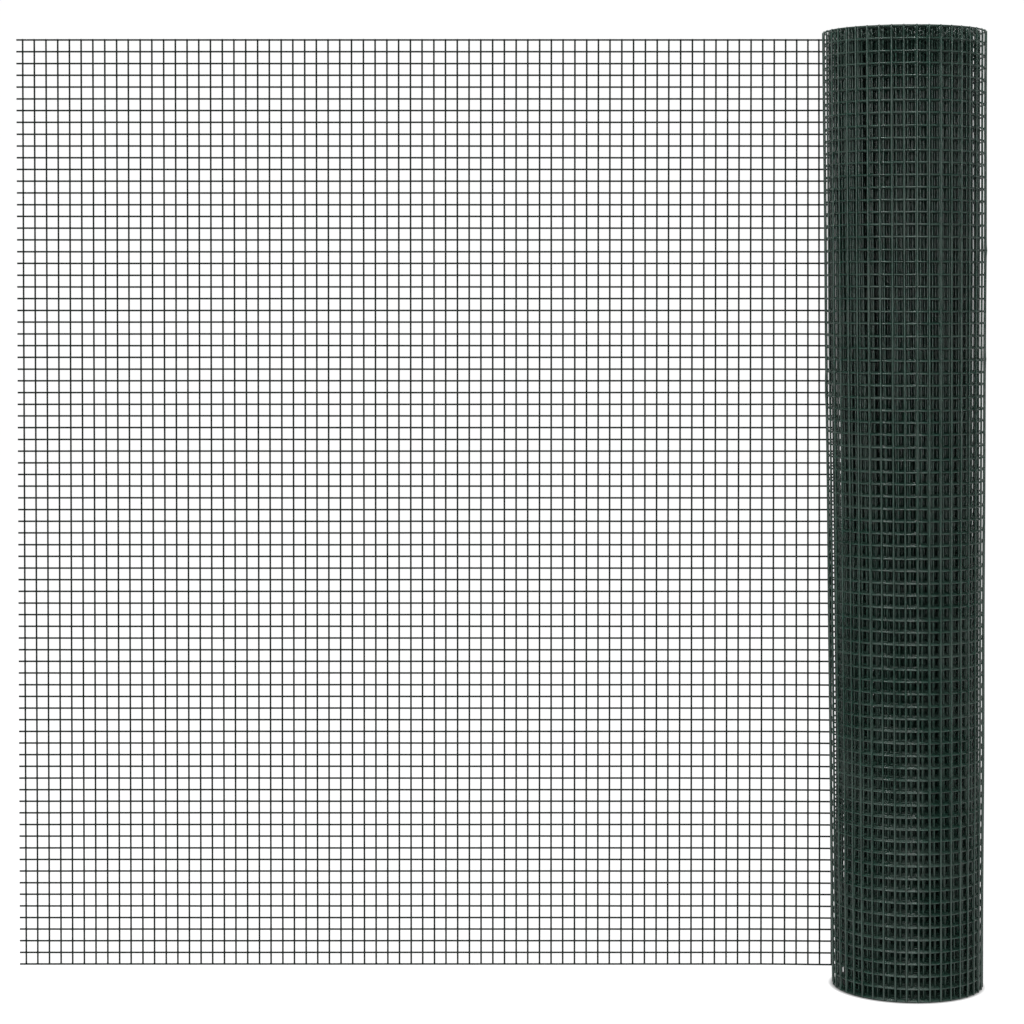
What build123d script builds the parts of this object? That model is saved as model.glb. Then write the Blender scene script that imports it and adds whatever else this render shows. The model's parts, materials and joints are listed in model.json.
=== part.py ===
"""A 7.5 m roll of half-inch welded wire fencing, standing on end with its free end unrolled flat.

The mesh is two layers of plastic-coated wire, welded where they cross. Line wires run the length
of the stock and go round the roll on its inner side. Cross wires run the width of the stock,
which is the roll's height, on its outer side. Most of the stock is wound into the roll. The rest
leaves the roll's back along a tangent and stands flat, as a panel, beside it.

Frame: +Z up, origin on the roll's axis at its lower end, the panel towards -X at the roll's back
(+Y). Units are millimetres.
"""

import os

from build123d import *

# Mesh
WIRE_DIAMETER = 1.9  # over the plastic coat
WELD_BITE = 0.3  # depth that a cross wire is sunk into a line wire at the weld
CELL_PITCH = 12.7  # half inch, both ways
LINE_WIRES = 80  # across the width of the stock

# Panel: the unrolled end of the stock
PANEL_COLUMNS = 75  # cross wires that stand in the panel
TILE_COLUMNS = 25  # cross wires in one tile of the panel
TILE_ROWS = 16  # line wires in one tile of the panel

# Roll
BORE_RADIUS = 17.0
ROLL_TURNS = 21
TURN_PITCH = 3.1  # from one turn of the mesh to the next, along the radius
END_GROOVE_DEPTH = 3.0  # of the valley between two turns' selvedge wires on the roll's ends
SEAT_CLEARANCE = 0.3  # between the roll's outer turn and the panel that leaves it

# Worked out from the sizes above
LAYER_OFFSET = WIRE_DIAMETER - WELD_BITE
STOCK_WIDTH = (LINE_WIRES - 1) * CELL_PITCH + WIRE_DIAMETER
ROLL_RADIUS = BORE_RADIUS + ROLL_TURNS * TURN_PITCH
LINE_WIRE_Y = ROLL_RADIUS + SEAT_CLEARANCE + WIRE_DIAMETER / 2
CROSS_WIRE_Y = LINE_WIRE_Y + LAYER_OFFSET


def line_wire_height(index):
    """Height of a line wire's centre. The first one's underside is the lower selvedge."""
    return WIRE_DIAMETER / 2 + index * CELL_PITCH


def cross_wire_x(index):
    """Place of a cross wire along the panel, half a cell from the roll's tangent for the first."""
    return -(index + 0.5) * CELL_PITCH


def turned_roll():
    """The wound stock: one turned solid with its bore.

    Each end shows the turns as rings, one for each turn's selvedge wire, with a valley between two
    rings where the ends of the cross wires stand.
    """
    with BuildPart() as roll:
        with BuildSketch(Plane.XZ):
            with Locations((BORE_RADIUS, 0)):
                Rectangle(ROLL_RADIUS - BORE_RADIUS, STOCK_WIDTH, align=(Align.MIN, Align.MIN))
            for turn in range(ROLL_TURNS - 1):
                ring_edge = BORE_RADIUS + turn * TURN_PITCH + WIRE_DIAMETER
                next_ring = BORE_RADIUS + (turn + 1) * TURN_PITCH
                valley = (ring_edge + next_ring) / 2
                for end, floor in (
                    (0, END_GROOVE_DEPTH),
                    (STOCK_WIDTH, STOCK_WIDTH - END_GROOVE_DEPTH),
                ):
                    corners = ((ring_edge, end), (next_ring, end), (valley, floor))
                    Polygon(*corners, align=None, mode=Mode.SUBTRACT)
        revolve(axis=Axis.Z)
    return roll


def panel_tile(first_column, column_count, first_row, row_count):
    """A tile of the flat panel, cut midway between wires, with its wires fused at the welds."""
    x_right = cross_wire_x(first_column) + CELL_PITCH / 2
    tile_length = column_count * CELL_PITCH
    z_low = max(line_wire_height(first_row) - CELL_PITCH / 2, 0)
    z_high = min(line_wire_height(first_row + row_count) - CELL_PITCH / 2, STOCK_WIDTH)
    columns = [(cross_wire_x(first_column + step), CROSS_WIRE_Y) for step in range(column_count)]
    rows = [(LINE_WIRE_Y, line_wire_height(first_row + step)) for step in range(row_count)]
    with BuildPart() as tile:
        with BuildSketch(Plane.XY.offset(z_low)):
            with Locations(*columns):
                Rectangle(WIRE_DIAMETER, WIRE_DIAMETER)
        extrude(amount=z_high - z_low)
        with BuildSketch(Plane.YZ.offset(x_right)):
            with Locations(*rows):
                Rectangle(WIRE_DIAMETER, WIRE_DIAMETER)
        extrude(amount=-tile_length, clean=False)
    return tile


os.makedirs("parts", exist_ok=True)

roll = turned_roll()
roll.part.label = "roll"
export_step(roll.part, "parts/roll.step")

for first_row in range(0, LINE_WIRES, TILE_ROWS):
    for first_column in range(0, PANEL_COLUMNS, TILE_COLUMNS):
        row_count = min(TILE_ROWS, LINE_WIRES - first_row)
        column_count = min(TILE_COLUMNS, PANEL_COLUMNS - first_column)
        tile = panel_tile(first_column, column_count, first_row, row_count)
        row_name = first_row // TILE_ROWS + 1
        column_name = first_column // TILE_COLUMNS + 1
        tile.part.label = f"panel_row{row_name}_tile{column_name}"
        export_step(tile.part, f"parts/{tile.part.label}.step", write_pcurves=False)
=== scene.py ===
"""Looks of a roll of half-inch welded wire fencing whose free end is unrolled as a flat panel.

The mesh is one fabric with two coordinates: travel, the distance along the stock from the line where it
leaves the roll (negative on the flat panel, positive in the roll), and height above the floor. One function,
stock_place, bends that fabric into its place. Line wires follow travel at a fixed height, and cross wires
follow height at a fixed travel, one wire layer further out from the roll's axis.
"""

import json
import math

import bpy
import numpy as np
from bpy.props import FloatProperty, FloatVectorProperty, IntProperty, PointerProperty
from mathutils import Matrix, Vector


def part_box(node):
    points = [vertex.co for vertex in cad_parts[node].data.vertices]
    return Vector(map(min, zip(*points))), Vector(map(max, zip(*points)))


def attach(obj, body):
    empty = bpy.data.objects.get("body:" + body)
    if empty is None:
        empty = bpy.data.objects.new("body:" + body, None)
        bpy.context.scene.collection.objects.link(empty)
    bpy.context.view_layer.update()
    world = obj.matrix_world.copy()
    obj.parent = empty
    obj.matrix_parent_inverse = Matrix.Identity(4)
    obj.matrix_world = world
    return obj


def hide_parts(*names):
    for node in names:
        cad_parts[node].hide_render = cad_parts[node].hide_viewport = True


bl_info = {
    "name": "Wire Fencing Roll",
    "version": (1, 0, 0),
    "blender": (4, 5, 0),
    "location": "View3D > Sidebar > Wire Fencing",
    "description": "Makes a roll of coated welded wire mesh with its free end unrolled flat",
    "category": "Add Mesh",
}

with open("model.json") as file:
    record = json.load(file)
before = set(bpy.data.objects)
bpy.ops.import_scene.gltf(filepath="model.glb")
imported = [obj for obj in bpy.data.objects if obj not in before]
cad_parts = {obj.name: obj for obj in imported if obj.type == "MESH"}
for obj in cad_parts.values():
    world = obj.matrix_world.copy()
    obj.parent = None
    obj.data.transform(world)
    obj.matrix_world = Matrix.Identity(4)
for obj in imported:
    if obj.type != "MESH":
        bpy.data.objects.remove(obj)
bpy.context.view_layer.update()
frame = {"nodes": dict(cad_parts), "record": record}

MM = 0.001
TURN = 2 * math.pi
ROLL_NODE = "roll"
PANEL_NODES = sorted(name for name in frame["nodes"] if name.startswith("panel_"))

PANEL_LOWS = [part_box(name)[0] for name in PANEL_NODES]
PANEL_LOW = Vector(min(low[axis] for low in PANEL_LOWS) for axis in range(3))
STOCK_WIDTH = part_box(ROLL_NODE)[1].z
PANEL_LENGTH = -PANEL_LOW.x
CORE_BORE = next(m for m in frame["record"]["mounts"] if m["name"] == "core_bore")
BORE_RADIUS = CORE_BORE["dims"]["r_mm"] * MM


def linear_colour(hex_value):
    """An sRGB hex colour such as #20362b as linear red, green and blue."""
    shares = [int(hex_value[place : place + 2], 16) / 255 for place in (1, 3, 5)]
    return [s / 12.92 if s <= 0.04045 else ((s + 0.055) / 1.055) ** 2.4 for s in shares]


class WireSizes(bpy.types.PropertyGroup):
    """Sizes of the wire and of the mesh that it is welded into."""

    wire_diameter: FloatProperty(
        name="Wire diameter", description="Over the plastic coat", default=1.9 * MM, unit="LENGTH"
    )
    core_diameter: FloatProperty(
        name="Core diameter", description="Of the steel inside", default=1.0 * MM, unit="LENGTH"
    )
    weld_bite: FloatProperty(
        name="Weld bite", description="How far a cross wire sinks in", default=0.3 * MM, unit="LENGTH"
    )
    cell_pitch: FloatProperty(
        name="Cell pitch", description="From wire to wire, both ways", default=12.7 * MM, unit="LENGTH"
    )
    roll_cells: IntProperty(
        name="Cells in the roll", description="Cross wires in the wound stock", default=515, min=60
    )


class WindingSizes(bpy.types.PropertyGroup):
    """How the stock lies in the roll."""

    settle: FloatProperty(
        name="Settle", description="How far the winding draws in", default=1.5 * MM, unit="LENGTH"
    )
    taper: FloatProperty(
        name="Taper", description="Radius gained from foot to top", default=6.8 * MM, unit="LENGTH"
    )
    lean: FloatProperty(
        name="Lean", description="How far the top leans to the panel", default=6.2 * MM, unit="LENGTH"
    )
    ease: FloatProperty(
        name="Ease", description="Radius that each turn's wire has to spare", default=0.8 * MM, unit="LENGTH"
    )
    turn_gaps: FloatVectorProperty(
        name="Turn gaps",
        description="Room inside each of the loose outer turns",
        default=(3.2 * MM, 0.4 * MM, 1.6 * MM),
        unit="LENGTH",
    )
    turn_leans: FloatVectorProperty(
        name="Turn leans",
        description="How far the turn inside each of them leans",
        default=(0.41 * MM, 0.42 * MM, 1.91 * MM),
        unit="LENGTH",
    )
    slack: FloatProperty(
        name="Slack", description="How far layers wander in and out", default=0.5 * MM, unit="LENGTH"
    )
    drift: FloatProperty(
        name="Drift", description="Height that a turn may creep up", default=1.0 * MM, unit="LENGTH"
    )
    wander: FloatProperty(
        name="Wander", description="How far a wire strays sideways", default=0.3 * MM, unit="LENGTH"
    )


class CoatColours(bpy.types.PropertyGroup):
    """Colours of the plastic coat and of the bare steel at a cut."""

    coat: FloatVectorProperty(
        name="Coat", description="On the roll", subtype="COLOR", default=linear_colour("#26443a")
    )
    coat_deep: FloatVectorProperty(
        name="Deep coat", description="Where it is thick", subtype="COLOR", default=linear_colour("#172e26")
    )
    # The panel's two colours are the roll's coat painted darker on the same stock: painted shade.
    clean: FloatVectorProperty(
        name="Panel coat, painted shade", description="On the panel", subtype="COLOR", default=linear_colour("#101d18")
    )
    panel_shade_deep: FloatVectorProperty(
        name="Panel deep coat, painted shade",
        description="Where it is thick",
        subtype="COLOR",
        default=linear_colour("#0a1410"),
    )
    bloom: FloatVectorProperty(
        name="Bloom", description="Dull grey film on it", subtype="COLOR", default=linear_colour("#505d57")
    )
    steel: FloatVectorProperty(
        name="Steel", description="Zinc-coated cut core", subtype="COLOR", default=linear_colour("#b9bdbf")
    )


def hashed(index, seed):
    """A repeatable number from -1 to 1 for each whole number, from the fraction of a large sine."""
    value = np.sin(np.asarray(index, float) * 12.9898 + seed * 78.233) * 43758.5453
    return 2 * (value - np.floor(value)) - 1


def ripple(travel, height, seed):
    """A smooth field from -1 to 1: the mean of four sine waves that cross the fabric at odd angles.

    Each wave is sin(a * travel + b * height + phase), 0.09 to 0.6 m long.
    """
    total = 0.0
    for wave in range(4):
        along, up, phase = (hashed(wave, seed + offset) for offset in (0.1, 0.4, 0.7))
        total = total + np.sin((18 + 34 * along) * travel + (14 + 22 * up) * height + 9 * phase)
    return total / 4


def smooth_step(value, low, high):
    """0 below low, 1 above high, and 3t^2 - 2t^3 between them."""
    share = np.clip((value - low) / (high - low), 0, 1)
    return share * share * (3 - 2 * share)


def sizes():
    """The three groups of settings."""
    scene = bpy.context.scene
    return scene.wire_sizes, scene.winding_sizes, scene.coat_colours


LEAD_IN = 0.16  # length of the panel over which it comes to the roll's own lean
GAP_STEP = 0.16  # share of a turn, before and after a whole turn, over which its gap opens
CLOSING_TURNS = (4.0, 20.0)  # turns over which the gaps and leans are made up again
GAP_LEVELS = (0.03, 0.25)  # shares of the height between which the gaps open
LEAN_LEVELS = (0.3, 0.9)  # shares of the height between which the loose turns go from right to left
SLACK_AROUND = 0.06  # metres of the slack's ripple that a turn swings through
SLACK_BETWEEN = 0.02  # metres of the slack's ripple from one turn to the next
CREEP_RATE = 1.7 / 3  # waves of the creep up the roll, for each turn
CREEP_PHASE = 0.8
CREEP_START = 0.5  # travel over which the creep begins
ROLL_STRAY, PANEL_STRAY = 1.6, 0.5  # share of the wander by which each cross wire is out of place
PANEL_SHARE = 0.35  # of the roll's slow wander that is left in the flattened panel
SELVEDGE_REACH = 0.02  # distance from a selvedge in which the line wires come to lie true
# Knocks on the outer turn: travel share of a turn, height share, reach, and spread both ways
KNOCKS = (
    (0.75, 0.626, 2.6 * MM, 9 * MM),
    (0.25, 0.771, 1.6 * MM, 10 * MM),
    (0.25, 0.659, 1.4 * MM, 10 * MM),
)


def winding():
    """Start radius and pitch, in metres, of the even spiral that gives each wire its angle.

    The spiral's radius falls evenly with its angle, so its length is the mean radius times the angle. It
    starts an ease further out than the line wires of the roll.
    """
    wire, lay, _ = sizes()
    start = PANEL_LOW.y + wire.wire_diameter / 2 + lay.ease
    end = BORE_RADIUS + wire.wire_diameter / 2
    turns = wire.roll_cells * wire.cell_pitch / (TURN * (start + end) / 2)
    return start, (start - end) / turns


def wound_angle(travel):
    """Angle wound at a travel: solves travel = start * angle - pitch * angle^2 / (4 pi)."""
    start, pitch = winding()
    return (start - np.sqrt(np.maximum(start**2 - pitch * travel / math.pi, 0))) * TURN / pitch


def even_turns(first_travel, last_travel, per_turn):
    """Travels between two travels, evenly spaced by angle: start * angle - pitch * angle^2 / (4 pi)."""
    start, pitch = winding()
    first, last = wound_angle(first_travel), wound_angle(last_travel)
    steps = math.ceil((last - first) / TURN * per_turn)
    angle = np.linspace(first, last, steps + 1)
    return start * angle - pitch * angle**2 / (2 * TURN)


def loose_turns(turn_share):
    """How far the loose outer turns let a place in the roll sink in, and lean, in metres.

    Each is the sum over those turns of its own size times a smooth step as that turn ends, and fades as the
    turns close up.
    """
    _, lay, _ = sizes()
    gap, lean = 0.0, 0.0
    for turn, (turn_gap, turn_lean) in enumerate(zip(lay.turn_gaps, lay.turn_leans), start=1):
        opened = smooth_step(turn_share, turn - GAP_STEP, turn + GAP_STEP)
        gap = gap + turn_gap * opened
        lean = lean + turn_lean * opened
    left = 1 - smooth_step(turn_share, *CLOSING_TURNS)
    return gap * left, lean * left


def stock_place(travel, height, lift=0.0):
    """Point, outward direction and forward direction of the fabric at a travel and a height.

    In the roll, the point is radius * (sin angle, cos angle), and the radius is the even spiral plus a taper
    with height, a wander of the layers and a few knocks on the first turn, less the gaps of the loose outer
    turns. What is inside a loose turn leans, its top to the left and its foot to the right, and the whole
    roll leans to the left. On the panel, the angle is 0 and the travel is laid off along -X.
    """
    _, lay, _ = sizes()
    travel, height = np.broadcast_arrays(np.asarray(travel, float), np.asarray(height, float))
    wound = np.maximum(travel, 0)
    angle = wound_angle(wound)
    start, pitch = winding()
    near_roll = smooth_step(travel, -LEAD_IN, 0)
    turn_share = angle / TURN
    level = height / STOCK_WIDTH
    radius = start - lay.ease - pitch * turn_share
    radius = radius + near_roll * (lay.taper * (level - 0.5) - lay.settle)
    layer = SLACK_AROUND * np.sin(angle) + SLACK_BETWEEN * turn_share
    radius = radius + near_roll * lay.slack * ripple(layer, height, 3)
    gap, turn_lean = loose_turns(turn_share)
    radius = radius - gap * smooth_step(level, *GAP_LEVELS)
    for share, knock_level, reach, spread in KNOCKS:
        around = (turn_share - share) * TURN * start
        up = (level - knock_level) * STOCK_WIDTH
        radius = radius + reach * np.exp(-(around**2 + up**2) / spread**2) * (travel > 0)
    radius = radius + lift
    outward = np.stack([np.sin(angle), np.cos(angle), 0 * angle], -1)
    forward = np.stack([np.cos(angle), -np.sin(angle), 0 * angle], -1)
    point = radius[..., None] * outward + np.minimum(travel, 0)[..., None] * forward
    point[..., 0] -= near_roll * lay.lean * level + turn_lean * (2 * smooth_step(level, *LEAN_LEVELS) - 1)
    creep = lay.drift * (0.5 + 0.5 * np.sin(CREEP_RATE * angle + CREEP_PHASE))
    point[..., 2] = height + creep * smooth_step(travel, 0, CREEP_START)
    return point, outward, forward


def line_heights():
    """Height of each line wire's centre, evenly spaced from selvedge to selvedge."""
    wire, _, _ = sizes()
    count = round((STOCK_WIDTH - wire.wire_diameter) / wire.cell_pitch) + 1
    return wire.wire_diameter / 2 + np.arange(count) * wire.cell_pitch


EDGE_ROWS = 2  # line wires at each end of the roll that show well from above and below


def edge_rows():
    """Heights of the line wires at the roll's two ends."""
    heights = line_heights()
    return np.concatenate([heights[:EDGE_ROWS], heights[-EDGE_ROWS:]])


def cross_travels(first, count):
    """Travel of each cross wire. Wire 0 is half a cell into the roll, and wire -1 is on the panel."""
    wire, lay, _ = sizes()
    index = np.arange(first, first + count)
    stray = lay.wander * hashed(index, 11) * np.where(index >= 0, ROLL_STRAY, PANEL_STRAY)
    return (index + 0.5) * wire.cell_pitch + stray


def strayed_heights(heights, travel):
    """Height of a line wire along its travel: its own height and a slow wander, less on the panel."""
    wire, lay, _ = sizes()
    share = PANEL_SHARE + (1 - PANEL_SHARE) * smooth_step(travel, -LEAD_IN, 0)
    inside = np.minimum(heights, STOCK_WIDTH - heights)
    share = share * smooth_step(inside, 0, SELVEDGE_REACH)
    own = hashed(np.round(heights / wire.cell_pitch), 23)
    return heights + share * lay.wander * (own + ripple(travel, heights, 8))


def tube_mesh(centres, first_side, second_side, radii, sides):
    """Tubes round many centrelines at once, as points, quads and end polygons.

    Point(wire, station, step) = centre + radius * (cos(a) * first side + sin(a) * second side), with
    a = 2 pi * step / sides. The first side crossed with the second points along the wire, so the quads
    and the flat ends face outwards.
    """
    wires, stations = centres.shape[:2]
    turn = TURN * np.arange(sides) / sides
    ring = np.cos(turn)[:, None] * first_side[..., None, :]
    ring = ring + np.sin(turn)[:, None] * second_side[..., None, :]
    points = centres[..., None, :] + np.broadcast_to(radii, (wires, stations))[..., None, None] * ring
    index = np.arange(wires * stations * sides).reshape(wires, stations, sides)
    after = np.roll(index, -1, axis=2)
    quads = np.stack([index[:, :-1], after[:, :-1], after[:, 1:], index[:, 1:]], -1)
    ends = np.concatenate([index[:, 0, ::-1], index[:, -1]])
    return points.reshape(-1, 3), quads.reshape(-1, 4), ends.reshape(-1, sides)


def place_mesh(name, points, faces, material, nodes=()):
    """A mesh object from points and arrays of faces, riding on the part, with its material."""
    mesh = bpy.data.meshes.new(name)
    mesh.vertices.add(len(points))
    mesh.vertices.foreach_set("co", points.astype(np.float32).ravel())
    sizes_of_faces = np.concatenate([np.full(len(group), group.shape[1]) for group in faces])
    corners = np.concatenate([group.ravel() for group in faces])
    starts = np.concatenate([[0], np.cumsum(sizes_of_faces)[:-1]])
    mesh.loops.add(len(corners))
    mesh.loops.foreach_set("vertex_index", corners.astype(np.int32))
    mesh.polygons.add(len(sizes_of_faces))
    mesh.polygons.foreach_set("loop_start", starts.astype(np.int32))
    mesh.polygons.foreach_set("use_smooth", sizes_of_faces <= 4)
    mesh.update(calc_edges=True)
    mesh.validate()
    mesh.materials.append(material)
    piece = bpy.data.objects.new(name, mesh)
    bpy.context.scene.collection.objects.link(piece)
    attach(piece, "root")
    if nodes:
        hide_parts(*nodes)
    return piece


def make_line_wires(name, rows, travels, sides, material, nodes=()):
    """Line wires at some heights over a stretch of the stock, each a tube along its travel."""
    wire, _, _ = sizes()
    travel = travels[None, :]
    heights = strayed_heights(rows[:, None], travel)
    centres, outward, _ = stock_place(travel, heights)
    upward = np.broadcast_to(np.array([0.0, 0.0, 1.0]), centres.shape)
    points, quads, ends = tube_mesh(centres, upward, -outward, wire.wire_diameter / 2, sides)
    return place_mesh(name, points, [quads, ends], material, nodes)


def swayed_travels(first, count, height):
    """Travel of cross wires at a height: each wire's own place and a slow sway, less on the panel."""
    _, lay, _ = sizes()
    travel = cross_travels(first, count)[:, None]
    return travel + lay.wander * ripple(travel, height, 17) * np.where(travel > 0, 1.0, PANEL_SHARE)


END_INSET, END_RADIUS = 0.25, 0.62  # of a cross wire's rounded end, over the wire's radius


def make_cross_wires(name, first, count, segments, sides, material, nodes=()):
    """Cross wires from one index on, each a tube up the stock's width with dipped, rounded ends."""
    wire, _, _ = sizes()
    radius = wire.wire_diameter / 2
    inner = np.linspace(radius, STOCK_WIDTH - radius, segments + 1)
    inset = END_INSET * radius
    height = np.concatenate([[inset], inner, [STOCK_WIDTH - inset]])[None, :]
    radii = np.full(height.shape, radius)
    radii[:, [0, -1]] = END_RADIUS * radius
    lift = wire.wire_diameter - wire.weld_bite
    centres, outward, forward = stock_place(swayed_travels(first, count, height), height, lift)
    points, quads, ends = tube_mesh(centres, outward, -forward, radii, sides)
    return place_mesh(name, points, [quads, ends], material, nodes)


WELD_REACH, WELD_CORNER, WELD_TIP = 0.72, 0.16, 0.55  # over the wire's diameter


def make_welds(name, rows, first, count, material):
    """The coat's fillets at the welds: a flat eight-pointed body at each crossing.

    Its rim lies midway between the two wires, and is wide towards the four corners of the crossing and
    narrow along the wires: its reach is WELD_REACH - WELD_CORNER * cos(4 a), times the wire's diameter. Its
    two tips are sunk in the wires.
    """
    wire, _, _ = sizes()
    layer = (wire.wire_diameter - wire.weld_bite) / 2
    along = swayed_travels(first, count, rows[None, :])
    centres, outward, forward = stock_place(along, strayed_heights(rows[None, :], along), layer)
    centres, outward, forward = (field.reshape(-1, 3) for field in (centres, outward, forward))
    upward = np.array([0.0, 0.0, 1.0])
    turn = TURN * (np.arange(8) + 0.5) / 8
    reach = wire.wire_diameter * (WELD_REACH + WELD_CORNER * np.cos(4 * turn - math.pi))
    rim = reach[:, None, None] * (
        np.cos(turn)[:, None, None] * forward + np.sin(turn)[:, None, None] * upward
    )
    tip = WELD_TIP * wire.wire_diameter * outward
    points = np.concatenate([centres + rim, [centres + tip], [centres - tip]]).transpose(1, 0, 2)
    base = 10 * np.arange(len(centres))[:, None]
    step = np.arange(8)
    after = (step + 1) % 8
    outer = np.stack([base + step, base + 0 * step + 8, base + after], -1)
    inner = np.stack([base + after, base + 0 * step + 9, base + step], -1)
    faces = np.concatenate([outer, inner]).reshape(-1, 3)
    return place_mesh(name, points.reshape(-1, 3), [faces], material)


CORE_STEPS = np.array([-0.6, 0.12, 0.2]) * MM  # stations of a cut core past the end of its coat
CORE_SIDES = 12
CORE_SHARES = np.array([1.0, 1.0, 0.8])  # of the core's radius at each of them


def make_cut_cores(name, end_travel, direction):
    """Bare steel at the cut ends of the line wires: short cylinders that stand a little proud."""
    wire, _, _ = sizes()
    travel = (end_travel + CORE_STEPS * direction)[None, ::direction]
    heights = strayed_heights(line_heights()[:, None], travel)
    centres, outward, _ = stock_place(travel, heights)
    upward = np.broadcast_to(np.array([0.0, 0.0, 1.0]), centres.shape)
    radii = wire.core_diameter / 2 * CORE_SHARES[::direction]
    points, quads, ends = tube_mesh(centres, upward, -outward, radii, CORE_SIDES)
    return place_mesh(name, points, [quads, ends], cut_steel())


MIX_FACTOR, MIX_FIRST, MIX_SECOND, MIX_RESULT = 0, 6, 7, 2


def add_node(tree, kind, settings=None, links=None):
    """Adds a node, gives it its settings, and links other nodes' outputs to its inputs.

    A setting is a property of the node or the value of an input. A whole number names an input by place.
    """
    node = tree.nodes.new(kind)
    for key, value in (settings or {}).items():
        if isinstance(key, int) or key in node.inputs:
            node.inputs[key].default_value = value
        else:
            setattr(node, key, value)
    for key, socket in (links or {}).items():
        tree.links.new(socket, node.inputs[key])
    return node


def new_material(name):
    """An empty node material, its tree and its output."""
    material = bpy.data.materials.new(name)
    material.use_nodes = True
    tree = material.node_tree
    tree.nodes.clear()
    return material, tree, add_node(tree, "ShaderNodeOutputMaterial")


def noise(tree, grain, detail, seed):
    """Noise whose lumps are about one grain across, given in metres, on object coordinates."""
    place = add_node(tree, "ShaderNodeTexCoord")
    moved = add_node(
        tree,
        "ShaderNodeMapping",
        {"Location": (seed, 2 * seed, 3 * seed)},
        {"Vector": place.outputs["Object"]},
    )
    return add_node(
        tree,
        "ShaderNodeTexNoise",
        {"Scale": 1 / grain, "Detail": detail},
        {"Vector": moved.outputs["Vector"]},
    )


def remap(tree, socket, low, high, to_low, to_high):
    """The socket's value, clamped between low and high and stretched to a new range."""
    node = add_node(
        tree,
        "ShaderNodeMapRange",
        {"From Min": low, "From Max": high, "To Min": to_low, "To Max": to_high},
        {"Value": socket},
    )
    return node.outputs["Result"]


def blend_colour(tree, factor, first, second):
    """A mix of two colours, each a socket or linear red, green and blue."""
    settings, links = {"data_type": "RGBA"}, {MIX_FACTOR: factor}
    for place, value in ((MIX_FIRST, first), (MIX_SECOND, second)):
        if isinstance(value, bpy.types.NodeSocket):
            links[place] = value
        else:
            settings[place] = (*value, 1.0)
    return add_node(tree, "ShaderNodeMix", settings, links).outputs[MIX_RESULT]


def coated_wire(name, coat, coat_deep, most_bloom, shine):
    """Dip-coated PVC on galvanised wire: a thin glossy skin, uneven where it ran, dulled by handling.

    A handled coat has more bloom. The shine is the specular level: 0.5 is what the index of refraction
    gives, and less makes the coat read near black.
    """
    if name in bpy.data.materials:
        return bpy.data.materials[name]
    _, _, colours = sizes()
    material, tree, output = new_material(name)
    runs = noise(tree, 6 * MM, 3, 0.31)  # beads and thin places left as the coat ran and set
    film = noise(tree, 45 * MM, 4, 1.7)  # grey bloom and dust from handling, in patches
    peel = noise(tree, 0.7 * MM, 2, 2.9)  # orange peel of the cooled skin
    thick = remap(tree, runs.outputs["Fac"], 0.35, 0.65, 0, 1)
    bloomed = remap(tree, film.outputs["Fac"], 0.42, 0.72, 0.0, most_bloom)
    deep_or_thin = blend_colour(tree, thick, coat, coat_deep)
    colour = blend_colour(tree, bloomed, deep_or_thin, colours.bloom)
    roughness = remap(tree, film.outputs["Fac"], 0.35, 0.7, 0.2, 0.36)
    bump = add_node(
        tree, "ShaderNodeBump", {"Strength": 0.25, "Distance": 0.04 * MM}, {"Height": peel.outputs["Fac"]}
    )
    skin = add_node(
        tree,
        "ShaderNodeBsdfPrincipled",
        {"IOR": 1.53, "Specular IOR Level": shine},
        {"Base Color": colour, "Roughness": roughness, "Normal": bump.outputs["Normal"]},
    )
    tree.links.new(skin.outputs["BSDF"], output.inputs["Surface"])
    return material


def roll_coat():
    """The coat on the wound stock, green and handled."""
    _, _, colours = sizes()
    return coated_wire("PVC coat, dipped", colours.coat, colours.coat_deep, most_bloom=0.4, shine=0.5)


def panel_coat():
    """The coat on the unrolled end, the same stock as the roll's: painted shade makes it near black, with
    little bloom, and its shine is weak.
    """
    _, _, colours = sizes()
    return coated_wire(
        "PVC coat, dipped, clean", colours.clean, colours.panel_shade_deep, most_bloom=0.05, shine=0.15
    )


def cut_steel():
    """Galvanised steel core where the wire was snipped: bright sheared metal, duller along the shears' drag
    marks.
    """
    if "Galvanised steel, snipped" in bpy.data.materials:
        return bpy.data.materials["Galvanised steel, snipped"]
    _, _, colours = sizes()
    material, tree, output = new_material("Galvanised steel, snipped")
    shear = noise(tree, 0.4 * MM, 2, 5.3)  # drag marks of the shears
    colour = blend_colour(
        tree, remap(tree, shear.outputs["Fac"], 0.3, 0.7, 0, 0.5), colours.steel, linear_colour("#6c6f70")
    )
    roughness = remap(tree, shear.outputs["Fac"], 0.3, 0.7, 0.3, 0.5)
    metal = add_node(
        tree, "ShaderNodeBsdfPrincipled", {"Metallic": 1.0}, {"Base Color": colour, "Roughness": roughness}
    )
    tree.links.new(metal.outputs["BSDF"], output.inputs["Surface"])
    return material


OUTER_CELLS = 54  # a turn and a third, the stretch that shows, has rounder wires
MIDDLE_CELLS = 200
ROUND, PLAIN, COARSE = 8, 5, 4  # sides of a wire that shows, is behind others, or is deep in the roll
PANEL_SEGMENTS, OUTER_SEGMENTS, MIDDLE_SEGMENTS, INNER_SEGMENTS = 40, 79, 20, 16  # up a cross wire
EDGE_STEPS, MIDDLE_STEPS, INNER_STEPS = 56, 28, 14  # of a line wire round one turn


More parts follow.
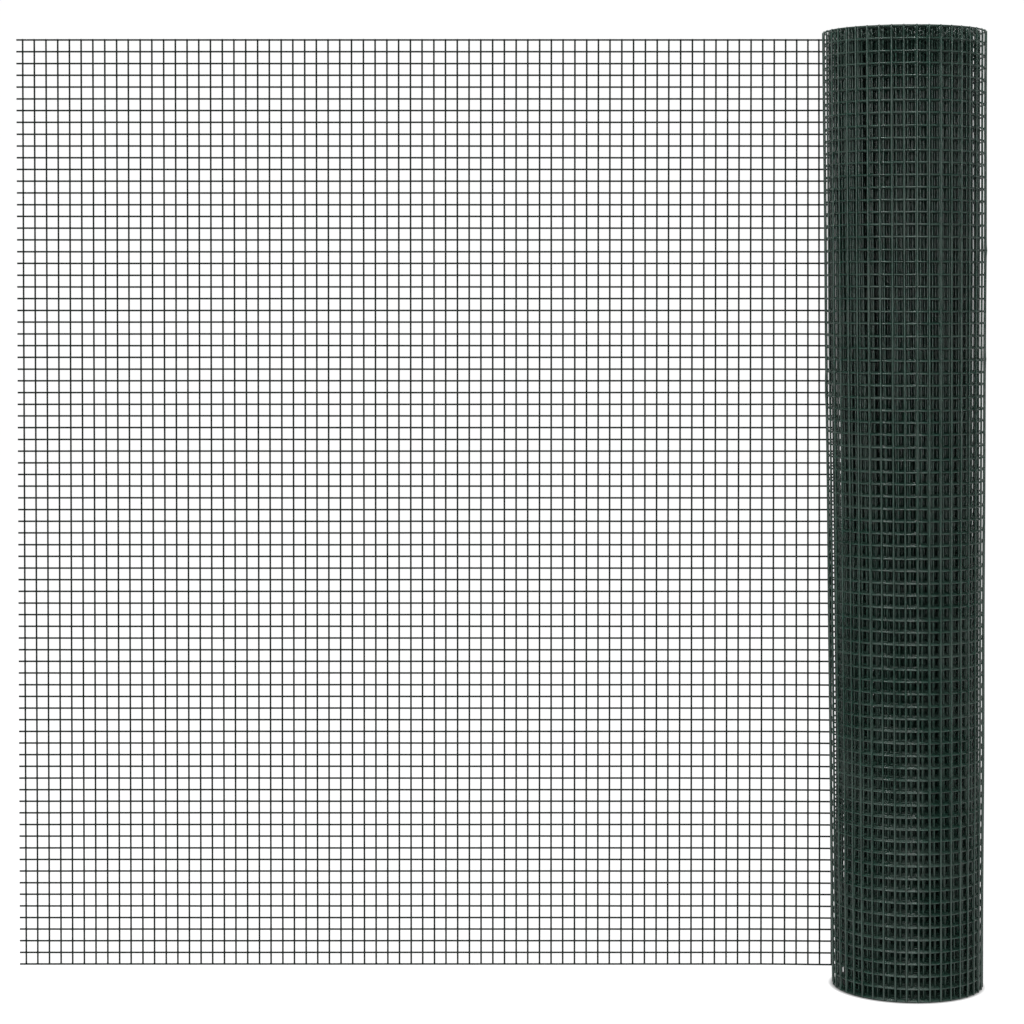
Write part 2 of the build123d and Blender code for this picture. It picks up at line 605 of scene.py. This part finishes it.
class FENCE_OT_flat_panel(bpy.types.Operator):
    """Make the flat free end of the stock"""

    bl_idname = "fence.flat_panel"
    bl_label = "Flat panel"

    def execute(self, context):
        wire, _, _ = sizes()
        count = round(PANEL_LENGTH / wire.cell_pitch)
        travels = np.linspace(-PANEL_LENGTH, 0.0, count + 1)
        coat = panel_coat()
        make_line_wires("panel_line_wires", line_heights(), travels, ROUND, coat, PANEL_NODES)
        make_cross_wires("panel_cross_wires", -count, count, PANEL_SEGMENTS, ROUND, coat, PANEL_NODES)
        make_welds("panel_welds", line_heights(), -count, count, coat)
        make_cut_cores("panel_cut_cores", -PANEL_LENGTH, -1)
        return {"FINISHED"}


class FENCE_OT_wound_stock(bpy.types.Operator):
    """Make the wound stock, in three lengths from the outside in"""

    bl_idname = "fence.wound_stock"
    bl_label = "Wound stock"

    def execute(self, context):
        wire, _, _ = sizes()
        rows, ends = line_heights(), edge_rows()
        middle, last = OUTER_CELLS + MIDDLE_CELLS, wire.roll_cells
        outer_end, middle_end, core_end = (cell * wire.cell_pitch for cell in (OUTER_CELLS, middle, last))
        inner_rows = rows[EDGE_ROWS:-EDGE_ROWS]
        coat, nodes = roll_coat(), [ROLL_NODE]
        line_lengths = (
            ("roll_line_wires_outer", rows, np.linspace(0, outer_end, 2 * OUTER_CELLS + 1), ROUND),
            ("roll_edge_wires", ends, even_turns(outer_end, core_end, EDGE_STEPS), ROUND),
            ("roll_line_wires_middle", inner_rows, even_turns(outer_end, middle_end, MIDDLE_STEPS), PLAIN),
            ("roll_line_wires_inner", inner_rows, even_turns(middle_end, core_end, INNER_STEPS), COARSE),
        )
        for name, heights, travels, sides in line_lengths:
            make_line_wires(name, heights, travels, sides, coat, nodes)
        cross_lengths = (
            ("roll_cross_wires_outer", 0, OUTER_CELLS, OUTER_SEGMENTS, ROUND),
            ("roll_cross_wires_middle", OUTER_CELLS, MIDDLE_CELLS, MIDDLE_SEGMENTS, PLAIN),
            ("roll_cross_wires_inner", middle, last - middle, INNER_SEGMENTS, PLAIN),
        )
        for name, first, count, segments, sides in cross_lengths:
            make_cross_wires(name, first, count, segments, sides, coat, nodes)
        make_welds("roll_welds", rows, 0, OUTER_CELLS, coat)
        make_welds("roll_edge_welds", ends[[0, -1]], OUTER_CELLS, last - OUTER_CELLS, coat)
        make_cut_cores("roll_cut_cores", core_end, 1)
        return {"FINISHED"}


# Camera: level with the object but for a small dip, so that the panel stays square in the picture
LENS_RATIO = 2756 / 1024  # focal length over the picture's width
CAMERA_DISTANCE = 2.9
CAMERA_SIDE = -0.4172
CAMERA_HEIGHT = 0.739
CAMERA_DIP = math.radians(1.3)
PICTURE_RISE = -0.16  # share of the picture by which the view is shifted down
SENSOR_WIDTH = 36

# Light: an even air, and lamps with their name, place, width, height in metres and power in watts
AIR_LIGHT = 0.16  # strength of the world on the object
LAMPS = (
    ("left_lamp", (-2.0, -2.0, 3.0), 0.35, 0.35, 52),
    ("right_lamp", (0.5, -2.5, 3.0), 0.3, 0.3, 42),
    ("strip_lamp", (-0.7, -3.1, 1.2), 3.6, 0.4, 14),
    ("front_lamp", (-0.42, -3.2, 0.75), 0.5, 1.3, 25),
)
LAMP_TARGET = Vector((-0.3, 0.0, 0.5))

# Floor and backdrop: one sheet that is flat to its reach, bends up and rises
FLOOR_FRONT, FLOOR_REACH, FLOOR_BEND, FLOOR_RISE = 0.9, 12.0, 2.0, 9.0
BEND_STATIONS = 9
FLOOR_GREY = 0.6  # its colour as it lights the object
GLOW = 0.975  # its own light to the camera and in reflections
SHADED_GREY = 0.2  # the little of the lamps' light that is added to that glow, and shows the shadow
FOOT = (0.076, 0.083)  # distance from the roll's axis at which the glow starts, and is whole; nearer in, the floor is painted shade


class FENCE_OT_stage(bpy.types.Operator):
    """Make the pale floor and backdrop, the lamps and the camera"""

    bl_idname = "fence.stage"
    bl_label = "Stage"

    def execute(self, context):
        scene = context.scene
        scene.view_settings.view_transform = "Standard"
        self.make_ground()
        self.make_light(scene)
        self.make_camera(scene)
        return {"FINISHED"}

    def make_ground(self):
        """A floor that runs up into a backdrop far behind.

        It is matte and pale, and white to the camera and in reflections but for the shadow and for the floor
        under the roll, which would else shine through the mesh. There the glow is taken away, a painted
        shade that fades out over a few millimetres round the roll's foot.
        """
        material, tree, output = new_material("Studio white")
        path = add_node(tree, "ShaderNodeLightPath")
        seen = add_node(
            tree,
            "ShaderNodeMath",
            {"operation": "MAXIMUM"},
            {0: path.outputs["Is Camera Ray"], 1: path.outputs["Is Glossy Ray"]},
        )
        matte = add_node(tree, "ShaderNodeBsdfDiffuse", {"Color": (*[FLOOR_GREY] * 3, 1)})
        faint = add_node(tree, "ShaderNodeBsdfDiffuse", {"Color": (*[SHADED_GREY] * 3, 1)})
        place = add_node(tree, "ShaderNodeTexCoord")
        from_axis = add_node(
            tree, "ShaderNodeVectorMath", {"operation": "LENGTH"}, {0: place.outputs["Object"]}
        )
        # No glow under the roll and for a few millimetres round its foot: painted shade.
        glow_level = remap(tree, from_axis.outputs["Value"], *FOOT, 0.0, GLOW)
        glow = add_node(tree, "ShaderNodeEmission", {"Color": (1, 1, 1, 1)}, {"Strength": glow_level})
        lit = add_node(tree, "ShaderNodeAddShader", None, {0: faint.outputs[0], 1: glow.outputs[0]})
        both = add_node(
            tree, "ShaderNodeMixShader", None, {0: seen.outputs[0], 1: matte.outputs[0], 2: lit.outputs[0]}
        )
        tree.links.new(both.outputs[0], output.inputs["Surface"])
        angle = np.linspace(0, math.pi / 2, BEND_STATIONS)
        far = FLOOR_REACH + FLOOR_BEND
        depth = np.concatenate([[-FLOOR_FRONT], FLOOR_REACH + FLOOR_BEND * np.sin(angle), [far]])
        level = np.concatenate([[0.0], FLOOR_BEND * (1 - np.cos(angle)), [FLOOR_BEND + FLOOR_RISE]])
        side = np.repeat([-FLOOR_REACH, FLOOR_REACH], len(depth))
        points = np.stack([side, np.tile(depth, 2), np.tile(level, 2)], -1)
        row = np.arange(len(depth) - 1)
        faces = np.stack([row, row + len(depth), row + len(depth) + 1, row + 1], -1)
        mesh = bpy.data.meshes.new("floor")
        mesh.from_pydata(points.tolist(), [], faces.tolist())
        mesh.materials.append(material)
        floor = bpy.data.objects.new("floor", mesh)
        bpy.context.scene.collection.objects.link(floor)

    def make_light(self, scene):
        """An even world that the camera sees white, two small lamps high up, a wide strip and a tall lamp.

        The two small lamps draw glints on the wires. The strip and the tall lamp, in front, are soft.
        """
        world = bpy.data.worlds.new("Studio air")
        scene.world = world
        world.use_nodes = True
        tree = world.node_tree
        path = add_node(tree, "ShaderNodeLightPath")
        background = tree.nodes["Background"]
        background.inputs["Color"].default_value = (1, 1, 1, 1)
        strength = remap(tree, path.outputs["Is Camera Ray"], 0, 1, AIR_LIGHT, 1.0)
        tree.links.new(strength, background.inputs["Strength"])
        for name, place, width, height, power in LAMPS:
            light = bpy.data.lights.new(name, "AREA")
            light.shape = "RECTANGLE"
            light.size = width
            light.size_y = height
            light.energy = power
            lamp = bpy.data.objects.new(name, light)
            lamp.location = place
            lamp.rotation_euler = (LAMP_TARGET - Vector(place)).to_track_quat("-Z", "Y").to_euler()
            scene.collection.objects.link(lamp)

    def make_camera(self, scene):
        """A long lens in front of the panel's middle, dipped a little and shifted down."""
        data = bpy.data.cameras.new("camera")
        data.sensor_width = SENSOR_WIDTH
        data.lens = SENSOR_WIDTH * LENS_RATIO
        data.shift_y = PICTURE_RISE
        camera = bpy.data.objects.new("camera", data)
        camera.rotation_euler = (math.pi / 2 - CAMERA_DIP, 0, 0)
        camera.location = (CAMERA_SIDE, -CAMERA_DISTANCE, CAMERA_HEIGHT)
        scene.collection.objects.link(camera)
        scene.camera = camera


class FENCE_PT_sidebar(bpy.types.Panel):
    """Lists the settings and the pieces"""

    bl_idname = "FENCE_PT_sidebar"
    bl_label = "Wire Fencing Roll"
    bl_space_type = "VIEW_3D"
    bl_region_type = "UI"
    bl_category = "Wire Fencing"

    def draw(self, context):
        for group in sizes():
            box = self.layout.box()
            for name in group.__annotations__:
                box.prop(group, name)
        for operator in OPERATORS:
            self.layout.operator(operator.bl_idname)


GROUPS = (WireSizes, WindingSizes, CoatColours)
OPERATORS = (FENCE_OT_flat_panel, FENCE_OT_wound_stock, FENCE_OT_stage)
CLASSES = (*GROUPS, *OPERATORS, FENCE_PT_sidebar)


def register():
    for cls in CLASSES:
        bpy.utils.register_class(cls)
    bpy.types.Scene.wire_sizes = PointerProperty(type=WireSizes)
    bpy.types.Scene.winding_sizes = PointerProperty(type=WindingSizes)
    bpy.types.Scene.coat_colours = PointerProperty(type=CoatColours)


def unregister():
    del bpy.types.Scene.coat_colours
    del bpy.types.Scene.winding_sizes
    del bpy.types.Scene.wire_sizes
    for cls in reversed(CLASSES):
        bpy.utils.unregister_class(cls)


def main():
    register()
    bpy.ops.fence.flat_panel()
    bpy.ops.fence.wound_stock()
    bpy.ops.fence.stage()


if __name__ == "__main__":
    main()
